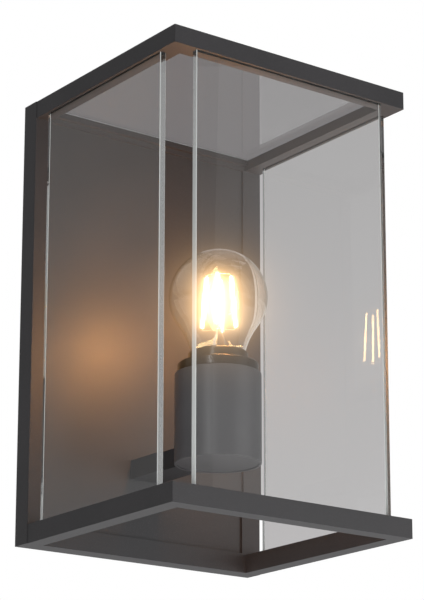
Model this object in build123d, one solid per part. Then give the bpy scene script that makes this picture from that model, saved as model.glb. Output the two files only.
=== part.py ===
from build123d import *
import os
from math import cos, radians, sin, sqrt

# Outdoor wall lantern: a shallow wall box, a glazed roof frame and an open bottom frame with
# three clear panes between them, and an upright lamp cup on a short arm.
# Millimetres. The origin is on the wall, at the middle of the bracket's two wall slots.
# +Z is up, +X is to the right seen from the front, and the front faces -Y.

# Driving dimensions
HEIGHT = 284.0
BOX_WIDTH = 177.0
FRAME_WIDTH = 176.0
DEPTH = 163.0
BOX_DEPTH = 13.4
SHEET = 1.5
BULB_WIDTH = 60.0
CUP_WIDTH = 52.0
LAMP_AXIS_Y = -86.0

# Heights of the whole
FLOOR = -HEIGHT / 2
TOP = HEIGHT / 2
BOX_FRONT = -BOX_DEPTH
FRONT = -DEPTH

# Frames
TOP_FRAME_HEIGHT = 11.1
TOP_BAR = 12.6
BOTTOM_FRAME_HEIGHT = 11.9
BOTTOM_BAR = 11.1
TOP_FRAME_UNDER = TOP - TOP_FRAME_HEIGHT
BOTTOM_FRAME_TOP = FLOOR + BOTTOM_FRAME_HEIGHT
BACK_BAR_DEPTH = 2.9
BACK_BAR_HEIGHT = 3.3
EDGE_RADIUS = 0.6
LEDGE_RISE = 6.4
ROOF_LEDGE = TOP_FRAME_UNDER + LEDGE_RISE

# How far a cutting shape runs past the face it cuts
PAST = 1.0

# Glass
GLASS = 4.0
PANE_SETBACK = 1.9
SLOT_CLEAR = 0.5
SLOT_DEPTH = 6.0
SIDE_PANE_REAR = -24.0
SIDE_PANE_FRONT = -146.0
FRONT_PANE_HALF = 70.8
ROOF_REBATE = 5.0
ROOF_GAP = 0.3
SEAL_TAPE = 0.5
SEAL_LAP = 0.4
POLISH = 0.35

# Wall box, its front lip and the panel behind the lip
LIP_INNER_X = 74.0
LIP_INNER_LOW = FLOOR + 12.6
LIP_INNER_HIGH = TOP - 11.2
PANEL_SHEET = 1.2
PANEL_OVERLAP = 4.0
PANEL_FRONT = BOX_FRONT + SHEET
PANEL_BACK = PANEL_FRONT + PANEL_SHEET

# Wall bracket
GASKET = 1.0
BRACKET_HALF = 30.0
BRACKET_BACK = -GASKET
BRACKET_FRONT = BRACKET_BACK - SHEET
BRACKET_TOP = TOP - SHEET - 0.2
BRACKET_LOW = FLOOR + SHEET + 0.2
TAB_REACH = -10.0
WALL_SLOT_SPACING = 200.0
WALL_SLOT_LENGTH = 14.0
WALL_SLOT_WIDTH = 5.2
CABLE_HOLE = 10.0
CABLE_BORE = 4.0
LOCK_SCREW_X = 18.0
LOCK_SCREW_Y = -6.5
LOCK_HEAD_RADIUS = 3.8
LOCK_HEAD_HEIGHT = 2.2
CROSS_LENGTH = 4.4
CROSS_WIDTH = 0.9
CROSS_DEPTH = 1.2
M4 = 2.0

# Cable grommet and frame screws
GROMMET_LIP = 2.0
GROMMET_LIP_HEIGHT = 1.2
GASKET_BORE = CABLE_HOLE + GROMMET_LIP + 0.3
FRAME_SCREW_INSET = 5.5
FRAME_SCREW_DROP = 5.6
FRAME_SCREW_RISE = 6.0
FRAME_SCREW_LENGTH = 10.0
FRAME_SCREW_HOLE = 10.5
FRAME_HEAD_RADIUS = 3.4
FRAME_HEAD_HEIGHT = 2.4
NOTCH_CLEAR = 0.3
SCREW_CLEAR = 0.2
HEX_SOCKET = 1.3
HEX_SOCKET_FLOOR = 1.0

# Lamp cup, arm and lampholder
CUP_LOW = FLOOR + 47.3
CUP_TOP = FLOOR + 103.6
CUP_WALL = 2.5
CUP_FLOOR_TOP = CUP_LOW + 2.7
CUP_RECESS = 0.8
CUP_RIM = 1.6
HOLDER_SCREW_LOW = CUP_LOW + CUP_RECESS + 0.5
ARM_WIDTH = 20.0
ARM_HEIGHT = 12.0
ARM_LOW = CUP_FLOOR_TOP
ARM_END = LAMP_AXIS_Y + CUP_WIDTH / 2 - 3.5
TONGUE_END = LAMP_AXIS_Y - 12.0
HOLDER_RADIUS = 20.0
HOLDER_LOW = ARM_LOW + SHEET
HOLDER_TOP = FLOOR + 99.5
WELL_FLOOR = FLOOR + 73.0
SHELL_OUTER = 14.0
SHELL_WALL = 0.4
SHELL_RISE = 3.0
HOLDER_SCREW_OFFSET = 9.0
HOLDER_SCREW_RADIUS = 1.75
HOLDER_HEAD_RADIUS = 3.2
HOLDER_HEAD_HEIGHT = 1.8
SCREW_SLOT = 0.9
CONTACT_HALF = 3.0
CONTACT_SHEET = 0.5
CONTACT_GAP = 0.15
CONTACT_FOOT = 10.0

# Bulb, with a 27 mm screw cap of 3.63 mm pitch
BULB_RADIUS = BULB_WIDTH / 2
BULB_CENTRE = FLOOR + 152.5
GLASS_WALL = 0.8
NECK_RADIUS = 15.0
NECK_DROP = 46.0
CAP_TOP = FLOOR + 103.5
CAP_THREAD_TOP = FLOOR + 98.0
CAP_THREAD_LOW = FLOOR + 83.0
CAP_RADIUS = 13.15
CAP_ROOT = 12.3
THREAD_PITCH = 3.63
CAP_WALL = 0.4
CAP_CEMENT = 0.15
CAP_LOWER_RIM = CAP_THREAD_LOW - 1.5
CAP_CONE = 0.6
GLASS_FOOT = CAP_THREAD_TOP + 1.0
INSULATOR_HEIGHT = 4.0
INSULATOR_LOW_RADIUS = 5.2
TIP_LOW = FLOOR + 76.5
TIP_RADIUS = 4.6
TIP_HEIGHT = 1.0
BOARD_HALF = 8.0
BOARD_HEIGHT = 14.0
BOARD_HALF_THICK = 0.5
CAPACITOR_RADIUS = 3.0
CAPACITOR_Y = LAMP_AXIS_Y + 3.2
FILAMENT_LENGTH = 34.0
FILAMENT_COUNT = 4
FILAMENT_RADIUS = 0.9
FILAMENT_FOOT = BULB_CENTRE - 20.0
FILAMENT_RING_LOW = 10.5
FILAMENT_RING_HIGH = 7.5
FILAMENT_FIRST_ANGLE = 45.0
STEM_TIP = BULB_CENTRE - 18.0
STEM_WAIST = BULB_CENTRE - 32.0
WIRE_THIN = 0.25
HUB_RISE = 1.5
HUB_RADIUS = 0.9

# Seal collar on the cup's mouth
COLLAR_RADIUS = 24.3
COLLAR_STEP = 6.4
COLLAR_NECK_RADIUS = 17.8
COLLAR_TOP = FLOOR + 117.0
COLLAR_GAP = 0.3
COLLAR_BODY_DEPTH = 10.6
COLLAR_BODY_RADIUS = 20.8
SKIRT_DEPTH = 3.5
COLLAR_EASE = 0.8

# Wiring inside the box
BLOCK_LOW = FLOOR + 100.0
BLOCK_HIGH = FLOOR + 116.0
BLOCK_HALF = 12.0
BLOCK_BACK = -3.4
POLE_PITCH = 7.0
WIRE_Y = -6.5
WIRE_RADIUS = 1.0
LEAD_BEND = 12.0
WIRE_HOLE_START = 12.0
LEAD_START = 13.0
LEAD_GRIP = 4.0
LEAD_Z = ARM_LOW + 4.5
EARTH_TURN_Z = FLOOR + 80.0
EARTH_LUG_X = 20.0
EARTH_STUD_X = 29.0
CLAMP_INSET = 4.0
INSERT_HALF = 2.2
INSERT_END = 1.5
CLAMP_RADIUS = 1.25
BLOCK_WIRE_HOLE = 1.4
BLOCK_SCREW_HOLE = 1.7
LUG_RADIUS = 4.0
LUG_BARREL = 1.6
LUG_HALF = 0.4
LUG_NECK_HALF = 2.5
NUT_HEIGHT = 2.2
STUD_COLLAR = 3.6


def block(x, y, z):
    """A box from three (low, high) pairs."""
    size = [abs(high - low) for low, high in (x, y, z)]
    middle = [(low + high) / 2 for low, high in (x, y, z)]
    return Pos(*middle) * Box(*size)


def upright(radius, low, high, x=0.0, y=LAMP_AXIS_Y):
    """A cylinder along Z."""
    return Pos(x, y, (low + high) / 2) * Cylinder(radius, high - low)


def along_y(radius, low, high, x, z):
    """A cylinder along Y."""
    return Pos(x, (low + high) / 2, z) * Rot(90, 0, 0) * Cylinder(radius, high - low)


def turned(edges):
    """A body turned about the lamp's axis from an outline in radius and height."""
    outline = make_face(edges)
    body = revolve(Plane.XZ * outline, Axis.Z)
    return Pos(0, LAMP_AXIS_Y, 0) * body


def group(solids):
    """Several separate solids as one node."""
    return Compound(children=list(solids))


def ease(body, radius=EDGE_RADIUS):
    """The small radius of a powder-coated edge, on the body's outer upright corners."""
    return fillet(body.edges().filter_by(Axis.Z).sort_by(Axis.Y)[:2], radius)


# Wall bracket and what stays on the wall


def bracket_holes(low, high):
    cuts = [along_y(CABLE_HOLE, low, high, 0, 0)]
    half_straight = (WALL_SLOT_LENGTH - WALL_SLOT_WIDTH) / 2
    for z in (-WALL_SLOT_SPACING / 2, WALL_SLOT_SPACING / 2):
        cuts.append(along_y(WALL_SLOT_WIDTH / 2, low, high, 0, z - half_straight))
        cuts.append(along_y(WALL_SLOT_WIDTH / 2, low, high, 0, z + half_straight))
        width = (-WALL_SLOT_WIDTH / 2, WALL_SLOT_WIDTH / 2)
        cuts.append(block(width, (low, high), (z - half_straight, z + half_straight)))
    return cuts


def make_wall_gasket():
    width = (-BRACKET_HALF, BRACKET_HALF)
    sheet = block(width, (BRACKET_BACK, 0), (BRACKET_LOW, BRACKET_TOP))
    sheet -= bracket_holes(BRACKET_BACK - PAST, PAST)
    return sheet - along_y(GASKET_BORE, BRACKET_BACK - PAST, PAST, 0, 0)


def make_wall_bracket():
    width = (-BRACKET_HALF, BRACKET_HALF)
    plate = block(width, (BRACKET_FRONT, BRACKET_BACK), (BRACKET_LOW, BRACKET_TOP))
    plate -= bracket_holes(BRACKET_FRONT - PAST, 0)
    plate += block(width, (TAB_REACH, BRACKET_BACK), (BRACKET_TOP - SHEET, BRACKET_TOP))
    plate += block(width, (TAB_REACH, BRACKET_BACK), (BRACKET_LOW, BRACKET_LOW + SHEET))
    for x in (-LOCK_SCREW_X, LOCK_SCREW_X):
        plate -= upright(M4, BRACKET_TOP - 2 * SHEET, BRACKET_TOP + PAST, x, LOCK_SCREW_Y)
    return plate


def make_lock_screws():
    screws = []
    for x in (-LOCK_SCREW_X, LOCK_SCREW_X):
        crown = TOP + LOCK_HEAD_HEIGHT
        screw = upright(M4, BRACKET_TOP - 3 * SHEET, TOP, x, LOCK_SCREW_Y)
        head = upright(LOCK_HEAD_RADIUS, TOP, crown, x, LOCK_SCREW_Y)
        head = chamfer(head.edges().sort_by(Axis.Z)[-1], EDGE_RADIUS)
        cross = Box(CROSS_WIDTH, CROSS_LENGTH, 2 * CROSS_DEPTH)
        cross += Box(CROSS_LENGTH, CROSS_WIDTH, 2 * CROSS_DEPTH)
        screws.append(screw + head - Pos(x, LOCK_SCREW_Y, crown) * cross)
    return group(screws)


def make_cable_grommet():
    lip = CABLE_HOLE + GROMMET_LIP
    inner_face = BRACKET_FRONT - GROMMET_LIP_HEIGHT
    ring = along_y(lip, BRACKET_BACK, -GASKET / 5, 0, 0)
    ring += along_y(CABLE_HOLE, BRACKET_FRONT, BRACKET_BACK, 0, 0)
    ring += along_y(lip, inner_face, BRACKET_FRONT, 0, 0)
    return ring - along_y(CABLE_BORE, inner_face - PAST, PAST, 0, 0)


# Wall box


def make_back_box():
    half = BOX_WIDTH / 2
    box = block((-half, half), (BOX_FRONT, 0), (FLOOR, TOP))
    box = ease(box)
    inner = half - SHEET
    box -= block((-inner, inner), (PANEL_FRONT, PAST), (FLOOR + SHEET, TOP - SHEET))
    window = (LIP_INNER_LOW, LIP_INNER_HIGH)
    box -= block((-LIP_INNER_X, LIP_INNER_X), (BOX_FRONT - PAST, 0), window)
    notch_half = M4 + NOTCH_CLEAR
    notch_height = (TOP - 2 * SHEET, TOP + PAST)
    for x in (-LOCK_SCREW_X, LOCK_SCREW_X):
        box -= upright(notch_half, *notch_height, x, LOCK_SCREW_Y)
        box -= block((x - notch_half, x + notch_half), (LOCK_SCREW_Y, PAST), notch_height)
    for x, z in frame_screw_places():
        box -= along_y(M4 + SCREW_CLEAR, BOX_FRONT - PAST, 0, x, z)
    return box


def make_back_panel():
    half = LIP_INNER_X + PANEL_OVERLAP
    height = (LIP_INNER_LOW - PANEL_OVERLAP, LIP_INNER_HIGH + PANEL_OVERLAP)
    panel = block((-half, half), (PANEL_FRONT, PANEL_BACK), height)
    return panel - arm_outline(PANEL_FRONT - PAST, PANEL_BACK + PAST)


def frame_screw_places():
    x = FRAME_WIDTH / 2 - FRAME_SCREW_INSET
    heights = (FLOOR + FRAME_SCREW_RISE, TOP - FRAME_SCREW_DROP)
    return [(side * x, z) for side in (-1, 1) for z in heights]


def make_frame_screws():
    screws = []
    for x, z in frame_screw_places():
        crown = PANEL_FRONT + FRAME_HEAD_HEIGHT
        screw = along_y(M4, BOX_FRONT - FRAME_SCREW_LENGTH, PANEL_FRONT, x, z)
        head = along_y(FRAME_HEAD_RADIUS, PANEL_FRONT, crown, x, z)
        socket = along_y(HEX_SOCKET, PANEL_FRONT + HEX_SOCKET_FLOOR, crown + PAST, x, z)
        screws.append(screw + head - socket)
    return group(screws)


# Frames and glass


def frame_block(half, front, low, high):
    return ease(block((-half, half), (front, BOX_FRONT), (low, high)))


def pane_slots(low, high):
    """Slots for the two side panes and the front pane."""
    half_width = GLASS / 2 + SLOT_CLEAR
    centre = FRAME_WIDTH / 2 - PANE_SETBACK - GLASS / 2
    length = (SIDE_PANE_FRONT - SLOT_CLEAR, SIDE_PANE_REAR + SLOT_CLEAR)
    slots = []
    for side in (-1, 1):
        across = (side * centre - half_width, side * centre + half_width)
        slots.append(block(across, length, (low, high)))
    front_centre = FRONT + PANE_SETBACK + GLASS / 2
    across = (front_centre - half_width, front_centre + half_width)
    reach = FRONT_PANE_HALF + SLOT_CLEAR
    slots.append(block((-reach, reach), across, (low, high)))
    return slots


def make_top_frame():
    half = FRAME_WIDTH / 2
    frame = frame_block(half, FRONT, TOP_FRAME_UNDER, TOP)
    opening = half - TOP_BAR
    front_edge = FRONT + TOP_BAR
    through = (TOP_FRAME_UNDER - PAST, TOP + PAST)
    frame -= block((-opening, opening), (front_edge, 0), through)
    rebate = opening + ROOF_REBATE
    frame -= block((-rebate, rebate), (front_edge - ROOF_REBATE, 0), (ROOF_LEDGE, TOP + PAST))
    back_bar = (BOX_FRONT - BACK_BAR_DEPTH, BOX_FRONT)
    frame += block((-opening, opening), back_bar, (ROOF_LEDGE - BACK_BAR_HEIGHT, ROOF_LEDGE))
    frame -= pane_slots(TOP_FRAME_UNDER - PAST, TOP_FRAME_UNDER + SLOT_DEPTH)
    for x, z in frame_screw_places():
        if z > 0:
            frame -= along_y(M4, BOX_FRONT - FRAME_SCREW_HOLE, BOX_FRONT + PAST, x, z)
    return frame


def make_bottom_frame():
    half = FRAME_WIDTH / 2
    frame = frame_block(half, FRONT, FLOOR, BOTTOM_FRAME_TOP)
    opening = half - BOTTOM_BAR
    through = (FLOOR - PAST, BOTTOM_FRAME_TOP + PAST)
    frame -= block((-opening, opening), (FRONT + BOTTOM_BAR, 0), through)
    frame -= pane_slots(BOTTOM_FRAME_TOP - SLOT_DEPTH, BOTTOM_FRAME_TOP + PAST)
    for x, z in frame_screw_places():
        if z < 0:
            frame -= along_y(M4, BOX_FRONT - FRAME_SCREW_HOLE, BOX_FRONT + PAST, x, z)
    return frame


def polished(pane):
    """A pane with the fine chamfer of polished glass edges."""
    return chamfer(pane.edges(), POLISH)


def pane_height():
    grip = SLOT_DEPTH - SLOT_CLEAR
    return BOTTOM_FRAME_TOP - grip, TOP_FRAME_UNDER + grip


def make_side_glass(side):
    centre = FRAME_WIDTH / 2 - PANE_SETBACK - GLASS / 2
    across = (side * centre - GLASS / 2, side * centre + GLASS / 2)
    return polished(block(across, (SIDE_PANE_FRONT, SIDE_PANE_REAR), pane_height()))


def make_front_glass():
    front = FRONT + PANE_SETBACK
    width = (-FRONT_PANE_HALF, FRONT_PANE_HALF)
    return polished(block(width, (front, front + GLASS), pane_height()))


def roof_outline(inset):
    half = FRAME_WIDTH / 2 - TOP_BAR + ROOF_REBATE - inset
    return (-half, half), (FRONT + TOP_BAR - ROOF_REBATE + inset, BOX_FRONT - inset)


def make_roof_glass():
    width, length = roof_outline(ROOF_GAP)
    low = ROOF_LEDGE + SEAL_TAPE
    return polished(block(width, length, (low, low + GLASS)))


def make_roof_seal():
    """The tape on the roof frame's ledge that the roof glass lies on."""
    width, length = roof_outline(ROOF_GAP + SEAL_LAP / 2)
    tape = block(width, length, (ROOF_LEDGE, ROOF_LEDGE + SEAL_TAPE))
    opening = FRAME_WIDTH / 2 - TOP_BAR + SEAL_LAP
    hole = (FRONT + TOP_BAR - SEAL_LAP, BOX_FRONT - BACK_BAR_DEPTH + SEAL_LAP)
    return tape - block((-opening, opening), hole, (ROOF_LEDGE - PAST, TOP))


def make_glazing(low, high):
    """The rubber that lines three slots and grips the panes."""
    slots = pane_slots(low, high)
    panes = [make_side_glass(-1), make_side_glass(1), make_front_glass()]
    return group([slot - pane for slot, pane in zip(slots, panes)])


# Arm, cup and lampholder


def arm_outline(low, high, grow=0.0):
    half = ARM_WIDTH / 2 + grow
    return block((-half, half), (low, high), (ARM_LOW - grow, ARM_LOW + ARM_HEIGHT + grow))


def make_arm():
    arm = arm_outline(ARM_END, PANEL_BACK)
    arm -= arm_outline(ARM_END - PAST, PANEL_BACK + PAST, -SHEET)
    half = ARM_WIDTH / 2
    arm += block((-half, half), (TONGUE_END, ARM_END), (ARM_LOW, ARM_LOW + SHEET))
    for side in (-1, 1):
        y = LAMP_AXIS_Y + side * HOLDER_SCREW_OFFSET
        arm -= upright(HOLDER_SCREW_RADIUS, ARM_LOW - PAST, HOLDER_LOW + PAST, 0, y)
    return arm


def make_socket_cup():
    radius = CUP_WIDTH / 2
    cup = upright(radius, CUP_LOW, CUP_TOP)
    cup = fillet(cup.edges(), EDGE_RADIUS)
    cup -= upright(radius - CUP_WALL, CUP_FLOOR_TOP, CUP_TOP + PAST)
    cup -= upright(radius - CUP_RIM, CUP_LOW - PAST, CUP_LOW + CUP_RECESS)
    cup -= arm_outline(LAMP_AXIS_Y + radius / 2, PANEL_BACK)
    for side in (-1, 1):
        y = LAMP_AXIS_Y + side * HOLDER_SCREW_OFFSET
        cup -= upright(HOLDER_SCREW_RADIUS, HOLDER_SCREW_LOW, CUP_FLOOR_TOP + PAST, 0, y)
    return cup


def make_lampholder():
    body = upright(HOLDER_RADIUS, HOLDER_LOW, HOLDER_TOP)
    body = chamfer(body.edges().sort_by(Axis.Z)[-1], 2 * EDGE_RADIUS)
    body -= upright(SHELL_OUTER, WELL_FLOOR, HOLDER_TOP + PAST)
    for side in (-1, 1):
        y = LAMP_AXIS_Y + side * HOLDER_SCREW_OFFSET
        body -= upright(HOLDER_SCREW_RADIUS + 0.1, HOLDER_LOW - PAST, WELL_FLOOR + PAST, 0, y)
    wire_hole = (LAMP_AXIS_Y + WIRE_HOLE_START, LAMP_AXIS_Y + HOLDER_RADIUS + PAST)
    for x in (-POLE_PITCH, 0):
        body -= along_y(WIRE_RADIUS + SCREW_CLEAR, *wire_hole, x, LEAD_Z)
    return body


def make_holder_screws():
    screws = []
    for side in (-1, 1):
        y = LAMP_AXIS_Y + side * HOLDER_SCREW_OFFSET
        crown = WELL_FLOOR + HOLDER_HEAD_HEIGHT
        screw = upright(HOLDER_SCREW_RADIUS, HOLDER_SCREW_LOW, WELL_FLOOR, 0, y)
        head = upright(HOLDER_HEAD_RADIUS, WELL_FLOOR, crown, 0, y)
        slot = Pos(0, y, crown) * Box(3 * HOLDER_HEAD_RADIUS, SCREW_SLOT, 1.5 * SCREW_SLOT)
        screws.append(screw + head - slot)
    return group(screws)


def make_screw_shell():
    low = WELL_FLOOR + SHELL_RISE
    shell = upright(SHELL_OUTER, low, HOLDER_TOP - SHELL_RISE / 2)
    return shell - upright(SHELL_OUTER - SHELL_WALL, low - PAST, HOLDER_TOP)


def make_centre_contact():
    """A brass tongue that springs up under the bulb's tip."""
    width = (LAMP_AXIS_Y - CONTACT_HALF, LAMP_AXIS_Y + CONTACT_HALF)
    upper = TIP_LOW - CONTACT_GAP
    bend = CONTACT_HALF + CONTACT_SHEET
    foot = block((CONTACT_HALF, CONTACT_FOOT), width, (WELL_FLOOR, WELL_FLOOR + CONTACT_SHEET))
    riser = block((CONTACT_HALF, bend), width, (WELL_FLOOR, upper))
    top = block((-CONTACT_HALF - 1, bend), width, (upper - CONTACT_SHEET, upper))
    return foot + riser + top


# Seal collar


def neck_arc(grow):
    """Centre height and radius of the neck's hollow curve, which touches the bulb's round."""
    gap = NECK_RADIUS
    curve = (NECK_DROP**2 + gap**2 - BULB_RADIUS**2) / (2 * (BULB_RADIUS - gap))
    return BULB_CENTRE - NECK_DROP, curve - grow, gap + curve


def neck_radius(z, grow=0.0):
    middle, curve, centre = neck_arc(grow)
    return centre - sqrt(curve**2 - (z - middle) ** 2)


def make_seal_collar():
    skirt_low = CUP_TOP - SKIRT_DEPTH
    body_low = COLLAR_TOP - COLLAR_BODY_DEPTH
    step = CUP_TOP + COLLAR_STEP
    bore = NECK_RADIUS + COLLAR_GAP
    neck_low = BULB_CENTRE - NECK_DROP
    mouth = neck_radius(COLLAR_TOP, COLLAR_GAP)
    bulge_z = (neck_low + COLLAR_TOP) / 2
    bulge = neck_radius(bulge_z, COLLAR_GAP)
    skirt = CUP_WIDTH / 2 - CUP_WALL - COLLAR_GAP
    outer = [
        (bore, body_low),
        (COLLAR_BODY_RADIUS, body_low),
        (COLLAR_BODY_RADIUS, skirt_low),
        (skirt, skirt_low),
        (skirt, CUP_TOP),
        (COLLAR_RADIUS, CUP_TOP),
        (COLLAR_RADIUS, step - COLLAR_EASE),
        (COLLAR_RADIUS - COLLAR_EASE, step),
        (COLLAR_NECK_RADIUS, step),
        (COLLAR_NECK_RADIUS, COLLAR_TOP - COLLAR_EASE),
        (COLLAR_NECK_RADIUS - COLLAR_EASE, COLLAR_TOP),
        (mouth, COLLAR_TOP),
    ]
    edges = Polyline(*outer).edges()
    edges += [ThreePointArc((mouth, COLLAR_TOP), (bulge, bulge_z), (bore, neck_low))]
    if neck_low > body_low:
        edges += [Line((bore, neck_low), outer[0])]
    return turned(edges)


# Bulb


def bulb_profile(inset):
    """The bulb's outline, from the crown down to the neck's lower edge."""
    middle, curve, centre = neck_arc(-inset)
    round_radius = BULB_RADIUS - inset
    share = BULB_RADIUS / (BULB_RADIUS + centre - NECK_RADIUS)
    touch = (share * centre, BULB_CENTRE - share * NECK_DROP)
    scale = round_radius / BULB_RADIUS
    touch = (touch[0] * scale, BULB_CENTRE + (touch[1] - BULB_CENTRE) * scale)
    crown = (0, BULB_CENTRE + round_radius)
    side = (round_radius, BULB_CENTRE)
    neck = (NECK_RADIUS - inset, middle)
    waist_z = (touch[1] + middle) / 2
    waist = (centre - sqrt(curve**2 - (waist_z - middle) ** 2), waist_z)
    return ThreePointArc(crown, side, touch), ThreePointArc(touch, waist, neck), crown, neck


def make_bulb_glass():
    round_out, neck_out, crown_out, foot_out = bulb_profile(0)
    round_in, neck_in, crown_in, foot_in = bulb_profile(GLASS_WALL)
    rim = CAP_RADIUS - CAP_WALL - CAP_CEMENT
    inner_rim = rim - GLASS_WALL
    throat = (rim, CAP_TOP - SCREW_CLEAR)
    inner_throat = (inner_rim, CAP_TOP - SCREW_CLEAR)
    edges = [round_out, neck_out, Line(foot_out, throat), Line(throat, (rim, GLASS_FOOT))]
    edges += [Line((rim, GLASS_FOOT), (inner_rim, GLASS_FOOT))]
    edges += [Line((inner_rim, GLASS_FOOT), inner_throat), Line(inner_throat, foot_in)]
    edges += [neck_in, round_in, Line(crown_in, crown_out)]
    return turned(edges)


def make_bulb_cap():
    """The threaded metal cap, its thread drawn as rounded ridges at the thread's pitch."""
    edges = []
    here = (CAP_RADIUS, CAP_TOP)
    shoulder = (CAP_RADIUS, CAP_THREAD_TOP)
    edges.append(Line(here, shoulder))
    ridges = int((CAP_THREAD_TOP - CAP_THREAD_LOW) / THREAD_PITCH)
    start = shoulder
    for ridge in range(ridges):
        high = CAP_THREAD_TOP - ridge * THREAD_PITCH
        valley = (CAP_ROOT, high - THREAD_PITCH / 2)
        crest = (CAP_RADIUS, high - THREAD_PITCH)
        edges.append(Line(start, valley))
        edges.append(Line(valley, crest))
        start = crest
    inner = CAP_ROOT - CAP_WALL - CAP_CONE
    band = CAP_RADIUS - CAP_WALL
    corners = [start, (CAP_ROOT - CAP_CONE, CAP_LOWER_RIM), (inner, CAP_LOWER_RIM)]
    corners += [(inner, CAP_THREAD_TOP), (band, CAP_THREAD_TOP + GLASS_WALL), (band, CAP_TOP), here]
    edges += [Line(a, b) for a, b in zip(corners, corners[1:])]
    return turned(edges)


def make_bulb_insulator():
    middle = CAP_LOWER_RIM - INSULATOR_HEIGHT / 2
    return Pos(0, LAMP_AXIS_Y, middle) * Cone(INSULATOR_LOW_RADIUS, CAP_ROOT - CAP_CONE, INSULATOR_HEIGHT)


def make_bulb_tip():
    tip = upright(TIP_RADIUS, TIP_LOW, TIP_LOW + TIP_HEIGHT)
    return fillet(tip.edges().sort_by(Axis.Z)[0], TIP_HEIGHT / 2)


def make_bulb_driver():
    """The small board and capacitor that feed the filaments, inside the cap."""
    low = CAP_THREAD_LOW - 1.0
    back_face = LAMP_AXIS_Y + BOARD_HALF_THICK
    front_face = LAMP_AXIS_Y - BOARD_HALF_THICK
    board = block((-BOARD_HALF, BOARD_HALF), (front_face, back_face), (low, low + BOARD_HEIGHT))
    capacitor = upright(CAPACITOR_RADIUS, low + 1, low + 11, 0, CAPACITOR_Y)
    chip = block((-3, 3), (front_face - 1.5, front_face), (low + 3, low + 7))
    return board + capacitor + chip


def make_bulb_stem():
    """The glass mount that closes the neck and carries the filaments."""
    foot = GLASS_FOOT
    rim = CAP_RADIUS - CAP_WALL - GLASS_WALL - 0.25
    outline = [(0, foot), (rim, foot), (rim, foot + 1.2), (5.0, foot + 8.0)]
    outline += [(3.4, STEM_WAIST), (2.6, STEM_TIP - 1.0), (1.6, STEM_TIP), (0, STEM_TIP), (0, foot)]
    return turned(Polyline(*outline).edges())


def filament_ends(index):
    """Lower and upper end of one filament; they lean in a ring about the stem."""
    angle = radians(FILAMENT_FIRST_ANGLE + index * 360 / FILAMENT_COUNT)
    across = Vector(cos(angle), sin(angle), 0)
    axis = Vector(0, LAMP_AXIS_Y, FILAMENT_FOOT)
    lean = FILAMENT_RING_LOW - FILAMENT_RING_HIGH
    rise = Vector(0, 0, sqrt(FILAMENT_LENGTH**2 - lean**2))
    return axis + across * FILAMENT_RING_LOW, axis + rise + across * FILAMENT_RING_HIGH


def rod(start, end, radius):
    axis = end - start
    place = Plane(origin=start, z_dir=axis.normalized())
    return extrude(place * Circle(radius), axis.length)


def make_filaments():
    return group(rod(*filament_ends(i), FILAMENT_RADIUS) for i in range(FILAMENT_COUNT))


def make_filament_wires():
    """Bent support wires from the stem to the filaments, and the ring wires that link their tops."""
    wires = []
    for index in range(FILAMENT_COUNT):
        low, high = filament_ends(index)
        stem = Vector(0, LAMP_AXIS_Y, FILAMENT_FOOT)
        outward = (low - stem).normalized()
        wires.append(rod(stem + outward * 3.0, low - outward * 1.05, WIRE_THIN))
        hub = Vector(0, LAMP_AXIS_Y, high.Z + HUB_RISE)
        outward = (high - hub).normalized()
        wires.append(rod(hub + outward * HUB_RADIUS, high + Vector(0, 0, 0.35), WIRE_THIN))
    hub_height = filament_ends(0)[1].Z + HUB_RISE
    wires.append(Pos(0, LAMP_AXIS_Y, hub_height) * Sphere(HUB_RADIUS))
    return group(wires)


# Wiring


def make_lead(x):
    route = FilletPolyline(
        (x, LAMP_AXIS_Y + LEAD_START, LEAD_Z),
        (x, WIRE_Y, LEAD_Z),
        (x, WIRE_Y, BLOCK_LOW + LEAD_GRIP),
        radius=[LEAD_BEND],
    )
    return sweep(Plane(route @ 0, z_dir=route % 0) * Circle(WIRE_RADIUS), path=route)


def make_earth_lead():
    run = EARTH_LUG_X - POLE_PITCH
    bend = 0.45 * run
    print(f"earth lead bend radius {bend:.2f} mm, lamp lead bend radius {LEAD_BEND:.2f} mm")
    route = FilletPolyline(
        (POLE_PITCH, WIRE_Y, BLOCK_LOW + LEAD_GRIP),
        (POLE_PITCH, WIRE_Y, EARTH_TURN_Z),
        (EARTH_LUG_X, WIRE_Y, EARTH_TURN_Z),
        radius=[bend],
    )
    return sweep(Plane(route @ 0, z_dir=route % 0) * Circle(WIRE_RADIUS), path=route)


def make_earth_lug():
    place = Pos(EARTH_LUG_X + LUG_RADIUS / 2, WIRE_Y, EARTH_TURN_Z)
    barrel = place * Rot(0, 90, 0) * Cylinder(LUG_BARREL, LUG_RADIUS)
    thickness = (WIRE_Y - LUG_HALF, WIRE_Y + LUG_HALF)
    height = (EARTH_TURN_Z - LUG_NECK_HALF, EARTH_TURN_Z + LUG_NECK_HALF)
    ring = block((EARTH_LUG_X + LUG_RADIUS - 1, EARTH_STUD_X), thickness, height)
    ring += along_y(LUG_RADIUS, *thickness, EARTH_STUD_X, EARTH_TURN_Z)
    ring -= along_y(M4 + 0.1, WIRE_Y - PAST, WIRE_Y + PAST, EARTH_STUD_X, EARTH_TURN_Z)
    return barrel + ring


def make_earth_stud():
    stud = along_y(M4, PANEL_BACK, BLOCK_BACK, EARTH_STUD_X, EARTH_TURN_Z)
    return stud + along_y(STUD_COLLAR, PANEL_BACK, WIRE_Y - LUG_HALF, EARTH_STUD_X, EARTH_TURN_Z)


def make_earth_nut():
    nut = extrude(Plane.XZ * RegularPolygon(LUG_RADIUS, 6), -NUT_HEIGHT)
    nut = Pos(EARTH_STUD_X, WIRE_Y + LUG_HALF, EARTH_TURN_Z) * nut
    return nut - along_y(M4 + 0.05, WIRE_Y - PAST, 0, EARTH_STUD_X, EARTH_TURN_Z)


def pole_places():
    return [pole * POLE_PITCH for pole in (-1, 0, 1)]


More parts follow.
